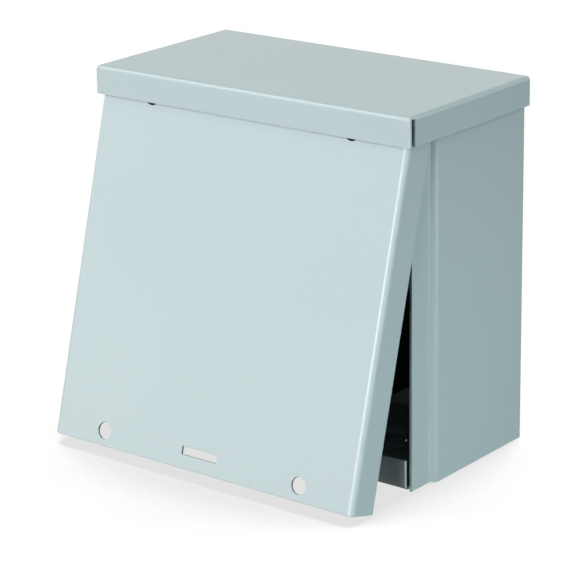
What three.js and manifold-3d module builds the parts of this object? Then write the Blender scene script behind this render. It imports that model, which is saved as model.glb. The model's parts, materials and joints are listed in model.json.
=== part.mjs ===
// Rainproof AC disconnect box: a sheet-steel enclosure with a drip hood and a slip-on cover, and a
// pull-out disconnect inside. Millimetres, +Z up. The back face is the plane y = 0 and the box
// faces -Y. Heights are measured from the bottom of the box; the finished group is then lowered by
// half the box's height, so the origin is the centre of the back face.

import * as THREE from 'three';
import { mergeVertices } from 'three/addons/utils/BufferGeometryUtils.js';
import Module from 'manifold-3d';

const wasm = await Module();
wasm.setup();

// ---- Driving dimensions -------------------------------------------------------------------

const SHEET = 1.5;         // 16 gauge steel
const GAP = 0.3;           // clearance between pieces that touch
const PAST = 1;            // how far a cutting tool runs past the face it cuts
const BEND = 3.3;          // outside radius of a bend of the cover and the floor
const BEND_STEPS = 4;
const ROUND = 24;          // sides of a hole or a screw

const BODY = { width: 203.2, height: 203.2, depth: 99.6, bend: 1.8 };
const JOGGLE = { inset: 3.1, start: 81, end: 83.1, bend: 1.2 };
const HOOD = { width: 208, depth: 109, drop: 15.7, bend: 2.2, slit: 3.1, slitTop: 1.2 };
const COVER = { width: 203, low: 0.5, high: 201.2, face: 103.4, flange: 19 };
const PIVOT = { y: -109.4, z: 201.2, open: 15.33 };           // degrees that the cover stands open
const COVER_HOLE = { radius: 4.6, x: 66.3, low: 8.8, high: 191.5 };
const COVER_SLOT = { width: 23.7, height: 4.5, z: 10.25 };
const LIP = { face: 101, height: 16.7, width: 190 };
const PAN = { rear: 1.8, sideRear: 4, sideFlange: 12, wideEnd: 79, narrow: 193.4 };
const STAPLE = { width: 20, thickness: 2.5, bend: 1.4, reach: 118, top: 24 };
const STAPLE_EYE = { y: -111, radius: 4 };
const WALL_HOLE = { radius: 3.55, x: 76.2, low: 25.4, high: 177.8 };
const KNOCKOUT = { x: 46, y: -50, radii: [11.1, 13.9], slit: 0.5, tie: 3 };
const DRAIN = { radius: 2.5, x: 80, y: -88 };
const NUT = { acrossFlats: 8, thickness: 4, bore: 2.4 };
const COVER_SCREW = { shank: 2.1, head: 4.1, headHeight: 3, length: 13 };

const UNIT_Z = 106;        // height of the middle of the disconnect unit
const POLE_X = 22;         // each pole's distance from the middle
const BASE = { width: 92, height: 150, rear: 1.8, floor: 11.8, front: 31.8 };
const JAW_BLOCK = { width: 68, height: 80 };
const CHAMBER = { width: 13, from: 12 };
const RIB = { width: 6, front: 51.7 };
const CONTACT = { strap: 12, thickness: 2, from: 15, to: 68 };
const JAW = { leaf: 1.2, from: 16, to: 32, opening: 3.1, mouth: 30.5, flare: 0.9, flareLength: 3.5 };
const LUG = { width: 14, from: 48, to: 68, depth: 18, bore: 4.5, boreY: -23.5 };
const LUG_SCREW = { radius: 3, rear: 28.5, front: 38 };
const BASE_SCREW = { x: 40, shank: 2, head: 4, headHeight: 3 };
const BARRIER = { width: 100, height: 156, front: 54, wallRear: 14, thickness: 2, bend: 3 };
const BARRIER_SCREW = { offset: 62, shank: 1.5, head: 3.5, headHeight: 2.5, tip: 42, boss: 5 };
const HEAD = { width: 62, height: 76, rear: 33, front: 56, lip: 2 };
const GRIP = { width: 52, height: 12, post: 7, rear: 71, front: 80 };
const BLADE = { thickness: 2.5, tip: 16, bar: 40, front: 50, from: 17, to: 31 };
const EARTH = { x: 70, width: 12, low: 40, high: 112, depth: 10, boreY: -7, bore: 2.6 };
const EARTH_SCREW = { radius: 2, head: 3.4, headHeight: 2.4, pitch: 13, first: 10, rear: 6.5 };

// ---- Materials ----------------------------------------------------------------------------

const finish = (color, roughness, metalness) =>
  new THREE.MeshStandardMaterial({ color, roughness, metalness });

const PAINT = finish(0xb4c4c6, 0.45, 0.1);
const ZINC = finish(0xb9bcbd, 0.35, 1);
const COPPER = finish(0xb87348, 0.35, 1);
const ALUMINIUM = finish(0xa9adb0, 0.4, 1);
const BLACK_PLASTIC = finish(0x1b1c1e, 0.55, 0);
const GREY_PLASTIC = finish(0x303235, 0.6, 0);
const GREEN_STEEL = finish(0x2f7d46, 0.45, 0.6);

// ---- Solids -------------------------------------------------------------------------------

// A closed three.js geometry as a solid that can be cut and joined.
function solid(geometry) {
  geometry.deleteAttribute('normal');
  geometry.deleteAttribute('uv');
  const merged = mergeVertices(geometry, 1e-4);
  return new wasm.Manifold(new wasm.Mesh({
    numProp: 3,
    vertProperties: new Float32Array(merged.attributes.position.array),
    triVerts: new Uint32Array(merged.index.array),
  }));
}

// A solid as a named mesh of the model.
function piece(name, shape, material) {
  const mesh = shape.getMesh();
  const geometry = new THREE.BufferGeometry();
  geometry.setAttribute('position', new THREE.BufferAttribute(mesh.vertProperties, 3));
  geometry.setIndex(new THREE.BufferAttribute(mesh.triVerts, 1));
  geometry.computeVertexNormals();
  const result = new THREE.Mesh(geometry, material);
  result.name = name;
  return result;
}

const X = new THREE.Vector3(1, 0, 0);
const Y = new THREE.Vector3(0, 1, 0);
const Z = new THREE.Vector3(0, 0, 1);

// A straight prism along an axis. Its outline is in (y, z), (x, z) or (x, y), for x, y or z.
function prism(axis, outline, from, to) {
  const shape = new THREE.Shape(outline.map(([u, v]) => new THREE.Vector2(u, v)));
  const geometry = new THREE.ExtrudeGeometry(shape, { depth: to - from, bevelEnabled: false });
  const turned = new THREE.Matrix4();
  if (axis === 'x') turned.makeBasis(Y, Z, X).setPosition(from, 0, 0);
  if (axis === 'y') turned.makeBasis(X, Z, Y.clone().negate()).setPosition(0, to, 0);
  if (axis === 'z') turned.makeTranslation(0, 0, from);
  return solid(geometry.applyMatrix4(turned));
}

function block([x0, x1], [y0, y1], [z0, z1]) {
  const geometry = new THREE.BoxGeometry(x1 - x0, y1 - y0, z1 - z0);
  geometry.translate((x0 + x1) / 2, (y0 + y1) / 2, (z0 + z1) / 2);
  return solid(geometry);
}

// A round bar along an axis, through the point (u, v) of the other two axes in x, y, z order.
function rod(axis, radius, [u, v], from, to, sides = ROUND) {
  const geometry = new THREE.CylinderGeometry(radius, radius, to - from, sides);
  const middle = (from + to) / 2;
  if (axis === 'x') geometry.rotateZ(Math.PI / 2).translate(middle, u, v);
  if (axis === 'y') geometry.translate(u, middle, v);
  if (axis === 'z') geometry.rotateX(Math.PI / 2).translate(u, v, middle);
  return solid(geometry);
}

const add = (first, ...others) => others.reduce((sum, other) => sum.add(other), first);
const cut = (first, ...others) => others.reduce((rest, other) => rest.subtract(other), first);

// The points of a circular arc, from one angle to another in degrees.
function arc([u, v], radius, from, to) {
  return Array.from({ length: BEND_STEPS + 1 }, (_, i) => {
    const angle = THREE.MathUtils.degToRad(from + ((to - from) * i) / BEND_STEPS);
    return [u + radius * Math.cos(angle), v + radius * Math.sin(angle)];
  });
}

// The outline of a bent sheet, from the corners of its middle line. A corner's third number is
// its bend radius, measured to the middle line.
function sheetOutline(corners, thickness = SHEET) {
  const points = corners.map(([u, v]) => new THREE.Vector2(u, v));
  const leftSide = [];
  const rightSide = [];
  const place = (point, normal) => {
    leftSide.push(point.clone().addScaledVector(normal, thickness / 2));
    rightSide.push(point.clone().addScaledVector(normal, -thickness / 2));
  };
  const directionTo = (i) => points[i].clone().sub(points[i - 1]).normalize();
  const leftOf = (direction) => new THREE.Vector2(-direction.y, direction.x);
  points.forEach((point, i) => {
    if (i === 0 || i === points.length - 1) {
      place(point, leftOf(directionTo(Math.max(i, 1))));
      return;
    }
    const before = directionTo(i);
    const after = directionTo(i + 1);
    const turn = Math.atan2(before.cross(after), before.dot(after));
    const signedRadius = Math.sign(turn) * corners[i][2];
    const start = point.clone().addScaledVector(before, -signedRadius * Math.tan(turn / 2));
    const centre = start.clone().addScaledVector(leftOf(before), signedRadius);
    for (let step = 0; step <= BEND_STEPS; step += 1) {
      const angle = (turn * step) / BEND_STEPS;
      const normal = leftOf(before).rotateAround(new THREE.Vector2(), angle);
      place(start.clone().rotateAround(centre, angle), normal);
    }
  });
  return [...leftSide, ...rightSide.reverse()].map(({ x, y }) => [x, y]);
}

const MIDDLE = SHEET / 2;                    // from a sheet's face to its middle line
const BEND_MIDDLE = BEND - MIDDLE;

// ---- Enclosure ----------------------------------------------------------------------------

// Back and sides, bent from one sheet. Each side steps inward near the front, so that the cover's
// flange slides over it. A short flange along the top of the back is spot-welded to the hood.
function bodyShell() {
  const outer = BODY.width / 2 - MIDDLE;
  const inner = outer - JOGGLE.inset;
  const rightHalf = [
    [outer, -MIDDLE, BODY.bend - MIDDLE],
    [outer, -JOGGLE.start, JOGGLE.bend],
    [inner, -JOGGLE.end, JOGGLE.bend],
    [inner, -BODY.depth],
  ];
  const leftHalf = rightHalf.map(([x, ...rest]) => [-x, ...rest]).reverse();
  const top = BODY.height - SHEET - GAP;
  const walls = prism('z', sheetOutline([...leftHalf, ...rightHalf]), 0, top);
  const weldFlange = block([-90, 90], [-14, -MIDDLE], [top - SHEET, top]);
  const wallHoles = [-WALL_HOLE.x, WALL_HOLE.x].flatMap((x) =>
    [WALL_HOLE.low, WALL_HOLE.high].map((z) =>
      rod('y', WALL_HOLE.radius, [x, z], -SHEET - PAST, PAST)));
  const baseScrewHoles = [-BASE_SCREW.x, BASE_SCREW.x].map((x) =>
    rod('y', BASE_SCREW.shank + GAP, [x, UNIT_Z], -SHEET - PAST, PAST));
  const earthScrewHole = rod('y', EARTH_SCREW.radius + GAP, [EARTH.x, bondingHeight()],
    -SHEET - PAST, PAST);
  return piece('body_shell',
    cut(add(walls, weldFlange), ...wallHoles, ...baseScrewHoles, earthScrewHole), PAINT);
}

// The thin slits of one concentric knockout. Two ties hold each ring.
function knockoutSlits(x, y) {
  return KNOCKOUT.radii.map((radius, i) => {
    const ring = cut(
      rod('z', radius + KNOCKOUT.slit, [x, y], -PAST, SHEET + PAST),
      rod('z', radius, [x, y], -2 * PAST, SHEET + 2 * PAST),
    );
    const across = radius + 2 * PAST;
    const half = KNOCKOUT.tie / 2;
    const tie = i % 2
      ? block([x - across, x + across], [y - half, y + half], [-2 * PAST, SHEET + 2 * PAST])
      : block([x - half, x + half], [y - across, y + across], [-2 * PAST, SHEET + 2 * PAST]);
    return cut(ring, tie);
  });
}

// Floor of the box, between the sides, with an upturned lip in front and a flange along each side.
function bottomPanel() {
  const lipMiddle = -LIP.face + MIDDLE;
  const lip = prism('x', sheetOutline([
    [-PAN.rear, MIDDLE],
    [lipMiddle, MIDDLE, BEND_MIDDLE],
    [lipMiddle, LIP.height],
  ]), -LIP.width / 2, LIP.width / 2);
  const side = BODY.width / 2 - SHEET - GAP - MIDDLE;
  const sides = prism('y', sheetOutline([
    [-side, PAN.sideFlange],
    [-side, MIDDLE, BEND_MIDDLE],
    [side, MIDDLE, BEND_MIDDLE],
    [side, PAN.sideFlange],
  ]), -PAN.wideEnd, -PAN.sideRear);
  const front = block([-PAN.narrow / 2, PAN.narrow / 2], [-LIP.face + 5, -PAN.wideEnd + 1],
    [0, SHEET]);
  const stapleSlot = block(
    [-STAPLE.width / 2 - GAP, STAPLE.width / 2 + GAP],
    [-LIP.face - PAST, -LIP.face + SHEET + PAST],
    [COVER_SLOT.z - STAPLE.thickness / 2 - GAP, COVER_SLOT.z + STAPLE.thickness / 2 + GAP],
  );
  const screwHoles = [-COVER_HOLE.x, COVER_HOLE.x].map((x) =>
    rod('y', COVER_SCREW.shank + 2 * GAP, [x, COVER_HOLE.low],
      -LIP.face - PAST, -LIP.face + SHEET + PAST));
  const drains = [-DRAIN.x, DRAIN.x].map((x) =>
    rod('z', DRAIN.radius, [x, DRAIN.y], -PAST, SHEET + PAST));
  const knockouts = [-KNOCKOUT.x, KNOCKOUT.x].flatMap((x) => knockoutSlits(x, KNOCKOUT.y));
  return piece('bottom_panel',
    cut(add(lip, sides, front), stapleSlot, ...screwHoles, ...drains, ...knockouts), PAINT);
}

// The hood's outer block, or its hollow when inset by the sheet's thickness.
function hoodBlock(inset, extra) {
  const half = HOOD.width / 2 - inset;
  const top = BODY.height - inset;
  const low = BODY.height - HOOD.drop - extra;
  const front = -HOOD.depth + inset;
  const radius = HOOD.bend - inset;
  const across = prism('y', [
    [-half, low],
    ...arc([-half + radius, top - radius], radius, 180, 90),
    ...arc([half - radius, top - radius], radius, 90, 0),
    [half, low],
  ], -HOOD.depth, extra);
  const along = prism('x', [
    [extra, low],
    [extra, top],
    ...arc([front + radius, top - radius], radius, 90, 180),
    [front, low],
  ], -half, half);
  return across.intersect(along);
}

// Top of the box, bent down in front and at the sides, with an open slit at each front corner.
function dripHood() {
  const slitRear = -HOOD.depth + SHEET + HOOD.slit;
  const slits = [-1, 1].map((side) => {
    const edges = [side * (HOOD.width / 2 - 2 * SHEET), side * (HOOD.width / 2 + PAST)];
    return block(edges.sort((a, b) => a - b), [-HOOD.depth + SHEET, slitRear],
      [BODY.height - HOOD.drop - PAST, BODY.height - HOOD.slitTop]);
  });
  return piece('drip_hood', cut(hoodBlock(0, 0), hoodBlock(SHEET, PAST), ...slits), PAINT);
}

// Slip-on cover, drawn closed and then turned open about the line inside the hood where its top
// edge rocks.
function frontCover() {
  const side = COVER.width / 2 - MIDDLE;
  const front = -COVER.face + MIDDLE;
  const rear = -COVER.face + COVER.flange;
  const tray = prism('z', sheetOutline([
    [-side, rear],
    [-side, front, BEND_MIDDLE],
    [side, front, BEND_MIDDLE],
    [side, rear],
  ]), COVER.low, COVER.high);
  const through = [-COVER.face - PAST, -COVER.face + SHEET + PAST];
  const holes = [-COVER_HOLE.x, COVER_HOLE.x].flatMap((x) =>
    [COVER_HOLE.low, COVER_HOLE.high].map((z) => rod('y', COVER_HOLE.radius, [x, z], ...through)));
  const slot = block(
    [-COVER_SLOT.width / 2, COVER_SLOT.width / 2],
    through,
    [COVER_SLOT.z - COVER_SLOT.height / 2, COVER_SLOT.z + COVER_SLOT.height / 2],
  );
  const cover = piece('front_cover', cut(tray, ...holes, slot), PAINT);
  cover.geometry.translate(0, -PIVOT.y, -PIVOT.z);
  cover.position.set(0, PIVOT.y, PIVOT.z);
  cover.rotation.x = -THREE.MathUtils.degToRad(PIVOT.open);
  return cover;
}

// Padlock tab. It stands up behind the lip, and comes out through the lip and the closed cover.
function padlockStaple() {
  const leg = -LIP.face + SHEET + GAP + STAPLE.thickness / 2;
  const bent = prism('x', sheetOutline([
    [leg, STAPLE.top],
    [leg, COVER_SLOT.z, STAPLE.bend],
    [-STAPLE.reach, COVER_SLOT.z],
  ], STAPLE.thickness), -STAPLE.width / 2, STAPLE.width / 2);
  const eye = rod('z', STAPLE_EYE.radius, [0, STAPLE_EYE.y],
    COVER_SLOT.z - STAPLE.thickness, COVER_SLOT.z + STAPLE.thickness);
  return piece('padlock_staple', cut(bent, eye), ZINC);
}

function lipNut(side) {
  const x = side * COVER_HOLE.x;
  const rear = -LIP.face + SHEET + GAP + NUT.thickness;
  const radius = NUT.acrossFlats / Math.sqrt(3);
  const hexagon = rod('y', radius, [x, COVER_HOLE.low], rear - NUT.thickness, rear, 6);
  const bore = rod('y', NUT.bore, [x, COVER_HOLE.low], rear - NUT.thickness - PAST, rear + PAST);
  return piece(`lip_nut_${SIDE_NAME[side]}`, cut(hexagon, bore), ZINC);
}

// A slotted round-head screw along y. Its head faces -Y and sits on the plane y = -seat.
function screw(name, [x, z], { shank, head, headHeight }, seat, tip, material = ZINC) {
  const slot = block([x - head - PAST, x + head + PAST],
    [-seat - headHeight - PAST, -seat - headHeight + headHeight / 2],
    [z - head / 8, z + head / 8]);
  const whole = add(
    rod('y', head, [x, z], -seat - headHeight, -seat),
    rod('y', shank, [x, z], -seat - headHeight / 2, -tip, ROUND / 2),
  );
  return piece(name, cut(whole, slot), material);
}

const SIDE_NAME = { [-1]: 'left', 1: 'right' };
const SIDES = [-1, 1];

// ---- Disconnect unit ----------------------------------------------------------------------

// Line parts lie above the middle of the unit, and load parts below it.
const ENDS = [{ name: 'line', up: 1 }, { name: 'load', up: -1 }];

// Heights on the line or load side, from distances to the middle of the unit.
const heights = (up, from, to) =>
  [UNIT_Z + up * from, UNIT_Z + up * to].sort((a, b) => a - b);

const around = (middle, width) => [middle - width / 2, middle + width / 2];

// Moulded base: a plate with a block in the middle that holds the four jaws, a rib between the
// poles, and two bosses for the barrier's screws.
function disconnectBase() {
  const plate = block(around(0, BASE.width), [-BASE.floor, -BASE.rear],
    around(UNIT_Z, BASE.height));
  const jawBlock = block(around(0, JAW_BLOCK.width), [-BASE.front, -BASE.floor + PAST],
    around(UNIT_Z, JAW_BLOCK.height));
  const ribs = ENDS.map(({ up }) => block(around(0, RIB.width), [-RIB.front, -BASE.floor + PAST],
    heights(up, JAW_BLOCK.height / 2 + GAP, BASE.height / 2)));
  const bosses = ENDS.map(({ up }) => rod('y', BARRIER_SCREW.boss,
    [0, UNIT_Z + up * BARRIER_SCREW.offset], -RIB.front, -BASE.floor + PAST));
  const chambers = ENDS.flatMap(({ up }) => SIDES.map((side) =>
    block(around(side * POLE_X, CHAMBER.width), [-BASE.front - PAST, -BASE.floor],
      heights(up, CHAMBER.from, JAW_BLOCK.height / 2 + PAST))));
  const barrierHoles = ENDS.map(({ up }) => rod('y', BARRIER_SCREW.shank + GAP,
    [0, UNIT_Z + up * BARRIER_SCREW.offset], -RIB.front - PAST, -BARRIER_SCREW.tip + PAST));
  const baseHoles = SIDES.map((side) => rod('y', BASE_SCREW.shank + GAP,
    [side * BASE_SCREW.x, UNIT_Z], -BASE.floor - PAST, -BASE.rear + PAST));
  return piece('disconnect_base',
    cut(add(plate, jawBlock, ...ribs, ...bosses), ...chambers, ...barrierHoles, ...baseHoles),
    BLACK_PLASTIC);
}

// Copper strap under a lug, with the spring jaw that grips one end of a pull-out blade.
function contact({ name, up }, side) {
  const x = side * POLE_X;
  const rear = -BASE.floor - GAP;
  const face = rear - CONTACT.thickness;
  const strap = block(around(x, CONTACT.strap), [face, rear],
    heights(up, CONTACT.from, CONTACT.to));
  const leaf = JAW.opening / 2 + JAW.leaf / 2;
  const mouth = -JAW.mouth;
  const rightLeaf = [
    [leaf, face, JAW.leaf],
    [leaf, mouth + JAW.flareLength, JAW.leaf],
    [leaf + JAW.flare, mouth],
  ];
  const leftLeaf = rightLeaf.map(([u, ...rest]) => [-u, ...rest]).reverse();
  const outline = sheetOutline([...leftLeaf, ...rightLeaf], JAW.leaf).map(([u, y]) => [x + u, y]);
  const jaw = prism('z', outline, ...heights(up, JAW.from, JAW.to));
  return piece(`${name}_contact_${SIDE_NAME[side]}`, add(strap, jaw), COPPER);
}

// Box lug: the wire goes in from the end, and the set screw comes down on it from the front.
function lug({ name, up }, side) {
  const x = side * POLE_X;
  const rear = -BASE.floor - CONTACT.thickness - 2 * GAP;
  const [low, high] = heights(up, LUG.from, LUG.to);
  const body = block(around(x, LUG.width), [rear - LUG.depth, rear], [low, high]);
  const wireBore = rod('z', LUG.bore, [x, LUG.boreY], low - PAST, high + PAST);
  const screwBore = rod('y', LUG_SCREW.radius + GAP, [x, (low + high) / 2],
    rear - LUG.depth - PAST, LUG.boreY);
  return piece(`${name}_lug_${SIDE_NAME[side]}`, cut(body, wireBore, screwBore), ALUMINIUM);
}

// Set screw of a lug, with a driver slot in its outer end.
function lugScrew({ name, up }, side) {
  const x = side * POLE_X;
  const z = UNIT_Z + (up * (LUG.from + LUG.to)) / 2;
  const stud = rod('y', LUG_SCREW.radius, [x, z], -LUG_SCREW.front, -LUG_SCREW.rear);
  const slot = block(around(x, 2 * LUG_SCREW.radius + PAST),
    [-LUG_SCREW.front - PAST, -LUG_SCREW.front + LUG_SCREW.radius / 2],
    around(z, LUG_SCREW.radius / 3));
  return piece(`${name}_lug_screw_${SIDE_NAME[side]}`, cut(stud, slot), ZINC);
}

// Insulating barrier over the live parts, with a window for the pull-out head. It is open above
// and below, where the wires come in.
function deadFront() {
  const side = BARRIER.width / 2 - BARRIER.thickness / 2;
  const front = -BARRIER.front + BARRIER.thickness / 2;
  const channel = prism('z', sheetOutline([
    [-side, -BARRIER.wallRear],
    [-side, front, BARRIER.bend],
    [side, front, BARRIER.bend],
    [side, -BARRIER.wallRear],
  ], BARRIER.thickness), ...around(UNIT_Z, BARRIER.height));
  const through = [-BARRIER.front - PAST, -BARRIER.front + BARRIER.thickness + PAST];
  const margin = 2.4;
  const window = block(around(0, HEAD.width + margin), through,
    around(UNIT_Z, HEAD.height + margin));
  const screwHoles = ENDS.map(({ up }) => rod('y', BARRIER_SCREW.shank + GAP,
    [0, UNIT_Z + up * BARRIER_SCREW.offset], ...through));
  return piece('dead_front', cut(channel, window, ...screwHoles), GREY_PLASTIC);
}

// Pull-out head: a moulded block that carries the two blades, with a grip bar on two posts.
function pulloutHead() {
  const body = block(around(0, HEAD.width), [-HEAD.front, -HEAD.rear],
    around(UNIT_Z, HEAD.height));
  const raised = block(around(0, HEAD.width - 2 * HEAD.lip),
    [-HEAD.front - HEAD.lip, -HEAD.front + PAST], around(UNIT_Z, HEAD.height - 2 * HEAD.lip));
  const posts = SIDES.map((side) => {
    const outer = side * (GRIP.width / 2);
    const edges = [outer, outer - side * GRIP.post].sort((a, b) => a - b);
    return block(edges, [-GRIP.rear - PAST, -HEAD.front], around(UNIT_Z, GRIP.height));
  });
  const bar = block(around(0, GRIP.width), [-GRIP.front, -GRIP.rear],
    around(UNIT_Z, GRIP.height));
  const slots = SIDES.map((side) => block(
    around(side * POLE_X, BLADE.thickness + 2 * GAP),
    [-BLADE.front - GAP, -HEAD.rear + PAST],
    around(UNIT_Z, 2 * (BLADE.to + GAP)),
  ));
  return piece('pullout_head', cut(add(body, raised, ...posts, bar), ...slots), BLACK_PLASTIC);
}

// Copper bar that bridges one pole's line and load jaws.
function pulloutBlade(side) {
  const x = side * POLE_X;
  const thickness = around(x, BLADE.thickness);
  const bar = block(thickness, [-BLADE.front, -BLADE.bar], around(UNIT_Z, 2 * BLADE.to));
  const prongs = ENDS.map(({ up }) => block(thickness, [-BLADE.bar - PAST, -BLADE.tip],
    heights(up, BLADE.from, BLADE.to)));
  return piece(`pullout_blade_${SIDE_NAME[side]}`, add(bar, ...prongs), COPPER);
}

// ---- Ground bar ---------------------------------------------------------------------------

const TERMINALS = [0, 1, 2, 3];
const terminalHeight = (i) => EARTH.low + EARTH_SCREW.first + i * EARTH_SCREW.pitch;

// The bonding screw sits above the last terminal.
function bondingHeight() {
  return terminalHeight(TERMINALS.length) + EARTH_SCREW.pitch / 4;
}

function groundBar() {
  const rear = -PAN.rear;
  const bar = block(around(EARTH.x, EARTH.width), [rear - EARTH.depth, rear],
    [EARTH.low, EARTH.high]);
  const wireBores = TERMINALS.map((i) => rod('x', EARTH.bore, [EARTH.boreY, terminalHeight(i)],
    EARTH.x - EARTH.width, EARTH.x + EARTH.width, ROUND / 2));
  const screwBores = TERMINALS.map((i) => rod('y', EARTH_SCREW.radius + GAP,
    [EARTH.x, terminalHeight(i)], rear - EARTH.depth - PAST, EARTH.boreY, ROUND / 2));
  const bondBore = rod('y', EARTH_SCREW.radius + GAP, [EARTH.x, bondingHeight()],
    rear - EARTH.depth - PAST, rear + PAST, ROUND / 2);
  return piece('ground_bar', cut(bar, ...wireBores, ...screwBores, bondBore), ALUMINIUM);
}

function groundScrews() {
  const seat = PAN.rear + EARTH.depth + GAP;
  const size = {
    shank: EARTH_SCREW.radius,
    head: EARTH_SCREW.head,
    headHeight: EARTH_SCREW.headHeight,
  };
  const terminals = TERMINALS.map((i) => screw(`ground_screw_${i + 1}`,
    [EARTH.x, terminalHeight(i)], size, seat, EARTH_SCREW.rear));
  const bonding = screw('bonding_screw', [EARTH.x, bondingHeight()], size, seat, GAP,
    GREEN_STEEL);
  return [...terminals, bonding];
}

// ---- Assembly -----------------------------------------------------------------------------

const group = new THREE.Group();
group.add(bodyShell(), bottomPanel(), dripHood(), frontCover(), padlockStaple());
group.add(disconnectBase(), deadFront(), pulloutHead(), groundBar(), ...groundScrews());

for (const side of SIDES) {
  const name = SIDE_NAME[side];
  group.add(lipNut(side), pulloutBlade(side));
  group.add(screw(`cover_screw_${name}`, [side * COVER_HOLE.x, COVER_HOLE.low], COVER_SCREW,
    LIP.face + GAP, LIP.face + GAP - COVER_SCREW.length));
  group.add(screw(`base_screw_${name}`, [side * BASE_SCREW.x, UNIT_Z], BASE_SCREW,
    BASE.floor + GAP, GAP));
  for (const end of ENDS) {
    group.add(contact(end, side), lug(end, side), lugScrew(end, side));
  }
}

for (const { name, up } of ENDS) {
  const place = { line: 'upper', load: 'lower' }[name];
  group.add(screw(`barrier_screw_${place}`, [0, UNIT_Z + up * BARRIER_SCREW.offset],
    BARRIER_SCREW, BARRIER.front + GAP, BARRIER_SCREW.tip));
}

group.position.z = -BODY.height / 2;

export default group;
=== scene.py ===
"""Looks of the rainproof disconnect box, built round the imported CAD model. Metres, row frame."""

import json
import math

import bmesh
import bpy
from mathutils import Matrix, Vector


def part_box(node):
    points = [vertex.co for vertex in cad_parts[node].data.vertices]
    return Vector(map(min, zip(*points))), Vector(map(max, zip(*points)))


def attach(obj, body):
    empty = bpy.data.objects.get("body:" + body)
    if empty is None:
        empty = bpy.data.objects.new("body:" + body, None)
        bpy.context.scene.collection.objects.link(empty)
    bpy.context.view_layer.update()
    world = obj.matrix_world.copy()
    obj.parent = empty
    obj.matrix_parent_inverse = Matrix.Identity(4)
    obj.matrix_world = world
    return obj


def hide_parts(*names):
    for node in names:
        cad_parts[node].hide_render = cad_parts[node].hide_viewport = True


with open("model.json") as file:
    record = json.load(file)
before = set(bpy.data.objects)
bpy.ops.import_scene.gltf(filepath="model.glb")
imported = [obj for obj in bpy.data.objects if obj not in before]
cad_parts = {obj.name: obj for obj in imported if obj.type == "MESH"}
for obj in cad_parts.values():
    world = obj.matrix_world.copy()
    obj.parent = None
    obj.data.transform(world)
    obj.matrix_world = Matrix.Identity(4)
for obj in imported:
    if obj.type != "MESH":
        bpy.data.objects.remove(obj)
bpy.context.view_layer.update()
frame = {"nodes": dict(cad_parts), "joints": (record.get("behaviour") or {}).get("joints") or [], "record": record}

# ---- Sizes, as the CAD model has them -------------------------------------------------------

MM = 0.001
SHEET = 1.5 * MM
BEND = 3.3 * MM             # outside radius of a main bend
HALF_HEIGHT = 101.6 * MM    # the origin's height above the bottom of the box
SIDES = (-1, 1)             # left and right


def height(above_bottom):
    """A row-frame z from a height above the bottom of the box, in millimetres."""
    return above_bottom * MM - HALF_HEIGHT


# ---- Camera ---------------------------------------------------------------------------------

CAMERA_PLACE = (0.80195, -1.09695, 0.40889)         # fitted to the photo's straight edges
CAMERA_AZIMUTH, CAMERA_ELEVATION, CAMERA_ROLL = 38.152, 18.067, -0.908
CAMERA_LENS, CAMERA_SENSOR = 157.82, 36             # millimetres


def make_camera():
    azimuth, elevation, roll = map(
        math.radians, (CAMERA_AZIMUTH, CAMERA_ELEVATION, CAMERA_ROLL))
    back = Vector((math.sin(azimuth) * math.cos(elevation),
                   -math.cos(azimuth) * math.cos(elevation), math.sin(elevation)))
    right = back.cross(Vector((0, 0, -1))).normalized()
    up = back.cross(right)
    turned = Matrix((right, up, back)).transposed() @ Matrix.Rotation(roll, 3, "Z")
    data = bpy.data.cameras.new("camera")
    data.lens = CAMERA_LENS
    data.sensor_width = CAMERA_SENSOR
    camera = bpy.data.objects.new("camera", data)
    camera.matrix_world = Matrix.Translation(CAMERA_PLACE) @ turned.to_4x4()
    bpy.context.scene.collection.objects.link(camera)
    bpy.context.scene.camera = camera


# ---- Lights and floor -----------------------------------------------------------------------

WORLD_COLOUR, WORLD_STRENGTH = (0.9, 0.98, 1.0), 0.025
LIGHTS = {      # place, size, power, colour
    "key": ((0.0, -1.9, 0.78), (1.5, 1.6), 46.9, (0.96, 0.975, 0.995)),
    "low_front": ((-0.3, -0.9, -0.02), (1.2, 0.15), 3.0, (1, 0.83, 0.78)),
    "top": ((-0.15, -0.35, 1.2), (0.8, 0.5), 3.7, (0.81, 1, 0.95)),
    "left": ((-1.9, 0.1, 0.15), (1.0, 1.0), 18, (0.95, 1, 1)),
    "back": ((0.2, 1.7, 0.9), (1.5, 1.2), 8.5, (0.95, 1, 1)),
    "rear": ((-0.2, 2.0, 0.15), (1.5, 0.9), 24, (0.95, 1, 1)),
    "right": ((1.1, 0.2, 0.95), (0.6, 0.5), 2.5, (1, 1, 1)),
    "low_right": ((0.6, -0.13, -0.1), (0.12, 0.16), 1.95, (0.88, 0.98, 0.995)),
    "fold": ((0.58, -2.05, 0.31), (0.6, 0.5), 10.5, (1, 1, 1)),
    "brim": ((-1.17, -0.9, 1.5), (0.7, 0.7), 7, (1, 1, 1)),
}
MIRRORED_ONLY = ("fold", "brim")    # highlights on the cover's right and the hood's front edge
MIRRORED = ("top", "right", *MIRRORED_ONLY)         # the others would wash the paint out
AIM = Vector((0, -0.05, 0))         # what every light points at
FLOOR_GAP = 0.2 * MM
SHADOW_REACH = 350 * MM             # how close a piece has to be to darken the floor
SHADOW_GLOW = 0.75                  # of the floor in full shadow, against 1 in the open
SHADOW_LEAN = (0, 0.3, 1)           # the middle of the sky that lights the floor, a little behind
SKY_SEEN = (0.52, 0.63)             # share of that sky, in full shadow and in the open
DOME_RADIUS = 7
DOME_SUNK = 0.1                     # how far its rim is below the floor


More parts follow.
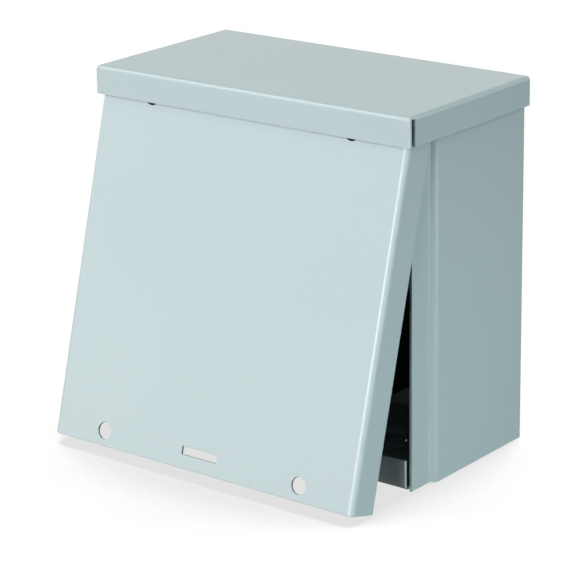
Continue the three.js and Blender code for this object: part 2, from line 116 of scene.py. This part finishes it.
def make_lights():
    for name, (place, size, power, colour) in LIGHTS.items():
        data = bpy.data.lights.new(name, "AREA")
        data.shape = "RECTANGLE"
        data.size, data.size_y = size
        data.energy = power
        data.color = colour
        light = bpy.data.objects.new(name, data)
        light.location = place
        light.visible_camera = False
        light.visible_glossy = name in MIRRORED
        light.visible_diffuse = name not in MIRRORED_ONLY
        light.rotation_euler = (AIM - Vector(place)).to_track_quat("-Z", "Y").to_euler()
        bpy.context.scene.collection.objects.link(light)
    world = bpy.data.worlds.new("studio")
    world.use_nodes = True
    background = world.node_tree.nodes["Background"]
    background.inputs["Color"].default_value = (*WORLD_COLOUR, 1)
    background.inputs["Strength"].default_value = WORLD_STRENGTH
    bpy.context.scene.world = world
    bpy.context.scene.view_settings.view_transform = "Standard"


def make_surroundings():
    """A glowing white floor with a soft shadow round the box, under a white dome. Neither one
    lights the box, and only the dome is mirrored in its paint."""
    low = -HALF_HEIGHT - FLOOR_GAP
    bpy.ops.mesh.primitive_plane_add(size=2 * DOME_RADIUS, location=(0, 0, low))
    floor = bpy.context.object
    floor.visible_glossy = False
    bpy.ops.mesh.primitive_uv_sphere_add(
        radius=DOME_RADIUS, segments=64, ring_count=32, location=(0, 0, low - DOME_SUNK))
    dome = bpy.context.object
    work = bmesh.new()
    work.from_mesh(dome.data)
    below = [vertex for vertex in work.verts if vertex.co.z < -DOME_SUNK]       # below its rim
    bmesh.ops.delete(work, geom=below, context="VERTS")
    work.to_mesh(dome.data)
    work.free()
    for surface, name, material in ((floor, "floor", floor_material()),
                                    (dome, "dome", glowing_material("dome")[0])):
        surface.name = name
        surface.data.materials.append(material)
        surface.visible_diffuse = False
        surface.visible_shadow = False


# ---- Materials ------------------------------------------------------------------------------

PAINT_COLOURS = (0.385, 0.472, 0.482), (0.405, 0.488, 0.498)
PAINT_ROUGHNESS = 0.17, 0.25
PLASTIC_ROUGHNESS = 0.42, 0.62


def new_material(name):
    """A material, with its nodes, its links and its shader."""
    material = bpy.data.materials.new(name)
    material.use_nodes = True
    nodes = material.node_tree.nodes
    return material, nodes, material.node_tree.links, nodes["Principled BSDF"]


def glowing_material(name):
    """The same, white and glowing, and unlit by any light."""
    made = material, _, _, shader = new_material(name)
    shader.inputs["Base Color"].default_value = (0, 0, 0, 1)
    shader.inputs["Roughness"].default_value = 1
    shader.inputs["Specular IOR Level"].default_value = 0
    shader.inputs["Emission Color"].default_value = (1, 1, 1, 1)
    shader.inputs["Emission Strength"].default_value = 1
    return made


def floor_material():
    """White, and darker the more of the light above a spot is hidden by something close."""
    material, nodes, links, shader = glowing_material("floor")
    lean = nodes.new("ShaderNodeCombineXYZ")
    for axis, value in zip("XYZ", Vector(SHADOW_LEAN).normalized()):
        lean.inputs[axis].default_value = value
    open_sky = nodes.new("ShaderNodeAmbientOcclusion")
    open_sky.inputs["Distance"].default_value = SHADOW_REACH
    links.new(lean.outputs["Vector"], open_sky.inputs["Normal"])
    glow = ranged(nodes, links, open_sky.outputs["AO"], SHADOW_GLOW, 1)
    for end, value in zip(("From Min", "From Max"), SKY_SEEN):
        glow.node.inputs[end].default_value = value
    links.new(glow, shader.inputs["Emission Strength"])
    return material


def noise(nodes, links, coordinates, scale, detail):
    """Noise from 0 to 1, with about as many bumps to the metre as scale says."""
    texture = nodes.new("ShaderNodeTexNoise")
    texture.inputs["Scale"].default_value = scale
    texture.inputs["Detail"].default_value = detail
    links.new(coordinates, texture.inputs["Vector"])
    return texture.outputs["Fac"]


def ranged(nodes, links, value, low, high):
    """value, from 0 to 1, spread over low to high."""
    spread = nodes.new("ShaderNodeMapRange")
    spread.inputs["To Min"].default_value = low
    spread.inputs["To Max"].default_value = high
    links.new(value, spread.inputs["Value"])
    return spread.outputs["Result"]


def mixed(nodes, links, factor, first, second):
    """A colour from first to second, as factor goes from 0 to 1."""
    mix = nodes.new("ShaderNodeMix")
    mix.data_type = "RGBA"
    mix.inputs["A"].default_value = (*first, 1)
    mix.inputs["B"].default_value = (*second, 1)
    links.new(factor, mix.inputs["Factor"])
    return mix.outputs["Result"]


def bumped(nodes, links, shader, bumps):
    """Bumps on the shader, each (height, strength, distance in metres)."""
    last = None
    for value, strength, distance in bumps:
        bump = nodes.new("ShaderNodeBump")
        bump.inputs["Strength"].default_value = strength
        bump.inputs["Distance"].default_value = distance
        links.new(value, bump.inputs["Height"])
        if last:
            links.new(last, bump.inputs["Normal"])
        last = bump.outputs["Normal"]
    links.new(last, shader.inputs["Normal"])


def powder_coat():
    """Smooth paint with a faint cloud in its colour, a slight wave and a fine orange peel."""
    material, nodes, links, shader = new_material("powder_coat")
    place = nodes.new("ShaderNodeTexCoord").outputs["Object"]
    cloud = noise(nodes, links, place, scale=14, detail=2)
    speck = noise(nodes, links, place, scale=2600, detail=1)
    peel = noise(nodes, links, place, scale=900, detail=2)
    wave = noise(nodes, links, place, scale=9, detail=1)
    links.new(mixed(nodes, links, cloud, *PAINT_COLOURS), shader.inputs["Base Color"])
    links.new(ranged(nodes, links, speck, *PAINT_ROUGHNESS), shader.inputs["Roughness"])
    bumped(nodes, links, shader, ((wave, 0.25, 0.4 * MM), (peel, 0.25, 0.02 * MM)))
    return material


def metal(name, dark, light, rough, grain=(1, 1, 1)):
    """Blotched from dark to light, with streaks that are finer along an axis of greater grain."""
    material, nodes, links, shader = new_material(name)
    place = nodes.new("ShaderNodeTexCoord").outputs["Object"]
    stretch = nodes.new("ShaderNodeMapping")
    stretch.inputs["Scale"].default_value = grain
    links.new(place, stretch.inputs["Vector"])
    streak = noise(nodes, links, stretch.outputs["Vector"], scale=700, detail=3)
    blotch = noise(nodes, links, place, scale=60, detail=2)
    links.new(mixed(nodes, links, blotch, dark, light), shader.inputs["Base Color"])
    links.new(ranged(nodes, links, streak, *rough), shader.inputs["Roughness"])
    shader.inputs["Metallic"].default_value = 1
    bumped(nodes, links, shader, ((streak, 0.15, 0.02 * MM),))
    return material


def moulded(name, dark, light):
    """Plastic with a fine matt grain."""
    material, nodes, links, shader = new_material(name)
    place = nodes.new("ShaderNodeTexCoord").outputs["Object"]
    grain = noise(nodes, links, place, scale=1500, detail=2)
    cloud = noise(nodes, links, place, scale=40, detail=2)
    links.new(mixed(nodes, links, cloud, dark, light), shader.inputs["Base Color"])
    links.new(ranged(nodes, links, grain, *PLASTIC_ROUGHNESS), shader.inputs["Roughness"])
    bumped(nodes, links, shader, ((grain, 0.3, 0.03 * MM),))
    return material


# ---- Mesh helpers ---------------------------------------------------------------------------

SAME_POINT = 0.001 * MM             # points closer than this are one
SMOOTH_ANGLE = math.radians(30)     # edges sharper than this are rounded
SHEET_EDGE, NODE_EDGE = 0.3 * MM, 0.2 * MM          # how wide the rounding is
BEND_STEPS = 10                     # facets round each bend


def mesh_object(name, points, faces, material):
    """A closed mesh, with its doubled points joined and its faces turned outward."""
    data = bpy.data.meshes.new(name)
    data.from_pydata([tuple(p) for p in points], [], faces)
    work = bmesh.new()
    work.from_mesh(data)
    bmesh.ops.remove_doubles(work, verts=work.verts, dist=SAME_POINT)
    bmesh.ops.recalc_face_normals(work, faces=work.faces)
    work.to_mesh(data)
    work.free()
    data.materials.append(material)
    made = bpy.data.objects.new(name, data)
    bpy.context.scene.collection.objects.link(made)
    return made


def bent_sides(corners):
    """The two faces of a bent sheet in section, from the corners of its middle line. A corner's
    third number is its bend radius, measured to the middle line."""
    points = [Vector(corner[:2]) for corner in corners]
    left, right = [], []

    def place(point, normal):
        left.append(point + normal * SHEET / 2)
        right.append(point - normal * SHEET / 2)

    def heading(i):
        return (points[i] - points[i - 1]).normalized()

    for i, point in enumerate(points):
        if i in (0, len(points) - 1):
            ahead = heading(max(i, 1))
            place(point, Vector((-ahead.y, ahead.x)))
            continue
        before, after = heading(i), heading(i + 1)
        turn = math.atan2(before.x * after.y - before.y * after.x, before.dot(after))
        radius = math.copysign(corners[i][2], turn)
        normal = Vector((-before.y, before.x))
        start = point - before * radius * math.tan(turn / 2)
        centre = start + normal * radius
        for step in range(BEND_STEPS + 1):
            turned = Matrix.Rotation(turn * step / BEND_STEPS, 2)
            place(centre - turned @ normal * radius, turned @ normal)
    return left, right


def swept_sheet(name, corners, ends, material):
    """An upright bent sheet, from its corners as seen from above, between two heights."""
    left, right = bent_sides(corners)
    section = left + right[::-1]
    count, half = len(section), len(left)
    points = [(*point, end) for end in ends for point in section]
    faces = [(i, (i + 1) % count, (i + 1) % count + count, i + count) for i in range(count)]
    for i in range(half - 1):
        cap = (i, i + 1, count - 2 - i, count - 1 - i)
        faces += [cap, tuple(k + count for k in cap)]
    return mesh_object(name, points, faces, material)


def tool_box(low, high):
    """The points and faces of a box-shaped cutter between two corners."""
    corners = [(x, y, z) for x in (low[0], high[0]) for y in (low[1], high[1])
               for z in (low[2], high[2])]
    faces = [(0, 1, 3, 2), (4, 6, 7, 5), (0, 4, 5, 1), (2, 3, 7, 6), (0, 2, 6, 4), (1, 5, 7, 3)]
    return corners, faces


def tool_rod(centre, radius, along, sides=48):
    """A round cutter along y, of length 2 * along, round centre."""
    x, y, z = centre
    corners = []
    for end in (-along, along):
        for i in range(sides):
            angle = math.tau * i / sides
            corners.append((x + radius * math.cos(angle), y + end, z + radius * math.sin(angle)))
    faces = [tuple(range(sides)), tuple(range(2 * sides - 1, sides - 1, -1))]
    faces += [(i, (i + 1) % sides, sides + (i + 1) % sides, sides + i) for i in range(sides)]
    return corners, faces


def combine(piece, tools, operation="DIFFERENCE"):
    """Cuts the tools, each (points, faces), out of the piece, or joins them to it."""
    points, faces = [], []
    for tool_points, tool_faces in tools:
        faces += [tuple(i + len(points) for i in face) for face in tool_faces]
        points += tool_points
    tool = mesh_object("tool", points, faces, piece.data.materials[0])
    boolean = piece.modifiers.new("combine", "BOOLEAN")
    boolean.operation = operation
    boolean.solver = "EXACT"
    boolean.object = tool
    graph = bpy.context.evaluated_depsgraph_get()
    result = bpy.data.meshes.new_from_object(piece.evaluated_get(graph), depsgraph=graph)
    piece.modifiers.clear()
    piece.data = result
    bpy.data.objects.remove(tool)


def soften(piece, width):
    """Rounds the sharp edges and shades the rest smoothly."""
    weld = piece.modifiers.new("weld", "WELD")
    weld.merge_threshold = SAME_POINT
    bevel = piece.modifiers.new("bevel", "BEVEL")
    bevel.width = width
    bevel.segments = 2
    bevel.limit_method = "ANGLE"
    bevel.angle_limit = SMOOTH_ANGLE
    bevel.miter_outer = "MITER_ARC"
    bevel.harden_normals = False
    normals = piece.modifiers.new("normals", "WEIGHTED_NORMAL")
    normals.keep_sharp = True


def finished(piece, body, node):
    """Puts a sheet piece on its body in place of its CAD node."""
    soften(piece, SHEET_EDGE)
    piece.data.shade_smooth()
    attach(piece, body)
    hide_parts(node)


# ---- Sheet pieces ---------------------------------------------------------------------------

MIDDLE = SHEET / 2
BEND_MIDDLE = BEND - MIDDLE
PAST = 3 * MM                                       # how far a cutter reaches past the sheet

HOOD_BEND = 2.2 * MM
HOOD_CORNER_OUTSIDE, HOOD_CORNER_INSIDE = 0.9 * MM, 0.3 * MM        # radii, seen from above
SLIT_WIDTH, SLIT_TOP = 3.1 * MM, 1.2 * MM           # of the slit at each front corner
QUARTER = [math.pi / 2 * step / BEND_STEPS for step in range(BEND_STEPS + 1)]


def tray_rows(half, front, top, low, radius, corner):
    """Rows of points of a tray's face, from its flat top down its bend to the flange's edge. The
    bend runs round the two front corners, which are rounded by up to corner in plan."""
    inner_x, inner_y = half - radius, front + radius
    drops = [(radius * math.sin(angle), radius * (1 - math.cos(angle))) for angle in QUARTER]
    rows = []
    for out, down in [*drops, (radius, top - low)]:
        rounding = min(out, corner)
        right = [(inner_x + out, 0)]
        for angle in QUARTER:
            right.append((inner_x + out - rounding + rounding * math.cos(angle),
                          inner_y - out + rounding - rounding * math.sin(angle)))
        left = [(-x, y) for x, y in reversed(right)]
        rows.append([(x, y, top - down) for x, y in right + left])
    return rows


def tray_faces(rows, width, base):
    """The faces of one side of a tray, with its rows of points numbered from base."""
    faces = []
    for row in range(rows - 1):
        for column in range(width - 1):
            i = base + row * width + column
            faces.append((i, i + 1, i + 1 + width, i + width))
    faces.append(tuple(base + column for column in (0, 1, width - 2, width - 1)))
    return faces


def make_hood(material):
    """A tray upside down, open at the back, with a slit at each front corner."""
    low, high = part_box("drip_hood")
    outer = tray_rows(high.x, low.y, high.z, low.z, HOOD_BEND, HOOD_CORNER_OUTSIDE)
    inner = tray_rows(high.x - SHEET, low.y + SHEET, high.z - SHEET, low.z,
                      HOOD_BEND - SHEET, HOOD_CORNER_INSIDE)
    points = [point for row in outer + inner for point in row]
    count, width, last = len(points) // 2, len(outer[0]), len(outer) - 1
    faces = [face for base in (0, count) for face in tray_faces(len(outer), width, base)]
    bottom = [last * width + column for column in range(width)]
    back = ([row * width for row in range(last, -1, -1)]
            + [row * width + width - 1 for row in range(last + 1)])
    for edge in (bottom, back):
        faces += [(a, b, b + count, a + count) for a, b in zip(edge, edge[1:])]
    hood = mesh_object("hood", points, faces, material)
    slit_front, slit_rear = low.y + SHEET, low.y + SHEET + SLIT_WIDTH
    slits = []
    for side in SIDES:
        near, far = sorted((side * (high.x - 2 * SHEET), side * (high.x + PAST)))
        slits.append(tool_box((near, slit_front, low.z - PAST),
                              (far, slit_rear, high.z - SLIT_TOP)))
    combine(hood, slits)
    finished(hood, "box", "drip_hood")


COVER_TILT = next(joint for joint in frame["joints"] if joint["name"] == "cover_tilt")
PIVOT = Vector(COVER_TILT["pos_m"])
OPEN = math.radians(COVER_TILT["range_deg"][1])
COVER_FACE, COVER_FLANGE = 103.4 * MM, 19 * MM      # how far out the face is, and how deep
COVER_ENDS = (height(0.5), height(201.2))           # its lower and upper edges, when closed
HOLE_X, HOLE_RADIUS = 66.3 * MM, 4.6 * MM
HOLE_HEIGHTS = (height(8.8), height(191.5))
SLOT_WIDTH, SLOT_DEPTH = 23.7 * MM, 4.5 * MM
SLOT_HEIGHT = height(10.25)                         # of its middle


def make_cover(material):
    """The cover is drawn closed and turned open about the hinge line."""
    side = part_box("front_cover")[1].x - MIDDLE
    front, rear = -COVER_FACE + MIDDLE, -COVER_FACE + COVER_FLANGE
    cover = swept_sheet("cover", [
        (-side, rear), (-side, front, BEND_MIDDLE), (side, front, BEND_MIDDLE), (side, rear),
    ], COVER_ENDS, material)
    tools = [tool_rod((sign * HOLE_X, front, z), HOLE_RADIUS, PAST)
             for sign in SIDES for z in HOLE_HEIGHTS]
    reach = Vector((SLOT_WIDTH / 2, PAST, SLOT_DEPTH / 2))
    middle = Vector((0, front, SLOT_HEIGHT))
    tools.append(tool_box(middle - reach, middle + reach))
    combine(cover, tools)
    turn = (Matrix.Translation(PIVOT) @ Matrix.Rotation(-OPEN, 4, "X")
            @ Matrix.Translation(-PIVOT))
    cover.data.transform(turn)
    finished(cover, "cover", "front_cover")


SHELL_BEND, JOGGLE_BEND = 1.8 * MM, 1.2 * MM
JOGGLE_INSET = 3.1 * MM                             # how far the sides step inward
JOGGLE_START, JOGGLE_END = -81 * MM, -83.1 * MM     # where they do, from back to front
WELD_FLANGE, WELD_FRONT = 90 * MM, -14 * MM         # its half width and front edge
WALL_HOLE_X, WALL_HOLE_RADIUS = 76.2 * MM, 3.55 * MM
WALL_HOLE_HEIGHTS = (height(25.4), height(177.8))
SCREW_HOLE_RADIUS = 2.3 * MM
BASE_SCREW_X, BASE_SCREW_HEIGHT = 40 * MM, height(106)
BONDING_SCREW_X, BONDING_SCREW_HEIGHT = 70 * MM, height(105.25)


def back_holes():
    """(x, z, radius) of every hole in the back: for the wall, the switch base, the ground bar."""
    holes = [(sign * WALL_HOLE_X, z, WALL_HOLE_RADIUS) for sign in SIDES for z in WALL_HOLE_HEIGHTS]
    holes += [(sign * BASE_SCREW_X, BASE_SCREW_HEIGHT, SCREW_HOLE_RADIUS) for sign in SIDES]
    return [*holes, (BONDING_SCREW_X, BONDING_SCREW_HEIGHT, SCREW_HOLE_RADIUS)]


def make_shell(material):
    """The back and the two sides, which step inward near the front, with a flange at the top of
    the back that the hood is welded to."""
    low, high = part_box("body_shell")
    outer = high.x - MIDDLE
    inner = outer - JOGGLE_INSET
    right = [(outer, -MIDDLE, SHELL_BEND - MIDDLE), (outer, JOGGLE_START, JOGGLE_BEND),
             (inner, JOGGLE_END, JOGGLE_BEND), (inner, low.y)]
    left = [(-x, *rest) for x, *rest in reversed(right)]
    shell = swept_sheet("shell", left + right, (low.z, high.z), material)
    weld = Vector((WELD_FLANGE, -MIDDLE, high.z))
    combine(shell, [tool_box((-weld.x, WELD_FRONT, weld.z - SHEET), weld)], "UNION")
    combine(shell, [tool_rod((x, -MIDDLE, z), radius, PAST) for x, z, radius in back_holes()])
    finished(shell, "box", "body_shell")


# ---- Everything -----------------------------------------------------------------------------

def finish_node(name, material):
    """Gives a CAD node its material and rounds its sharp edges."""
    node = frame["nodes"][name]
    node.data.materials.clear()
    node.data.materials.append(material)
    soften(node, NODE_EDGE)


make_camera()
make_lights()
make_surroundings()

paint = powder_coat()
SLOT_MATERIALS = {      # metal: dark and light colour, roughness; moulded: the two colours
    "enclosure_paint": paint,
    "zinc_steel": metal("zinc", (0.55, 0.56, 0.57), (0.66, 0.67, 0.68), (0.28, 0.42)),
    "copper": metal("copper", (0.62, 0.33, 0.2), (0.75, 0.43, 0.27), (0.25, 0.4)),
    "aluminium": metal("aluminium", (0.6, 0.61, 0.62), (0.7, 0.71, 0.72), (0.3, 0.45), (1, 1, 8)),
    "black_plastic": moulded("black_plastic", (0.012, 0.012, 0.013), (0.018, 0.018, 0.02)),
    "grey_plastic": moulded("grey_plastic", (0.02, 0.021, 0.023), (0.028, 0.029, 0.031)),
    "green_steel": metal("green_screw", (0.04, 0.2, 0.07), (0.06, 0.26, 0.1), (0.3, 0.45)),
}

make_hood(paint)
make_cover(paint)
make_shell(paint)

REBUILT = {"drip_hood", "front_cover", "body_shell"}
for part in frame["record"]["subparts"]:
    if part["node"] not in REBUILT:
        finish_node(part["node"], SLOT_MATERIALS[part["material_slot"]])
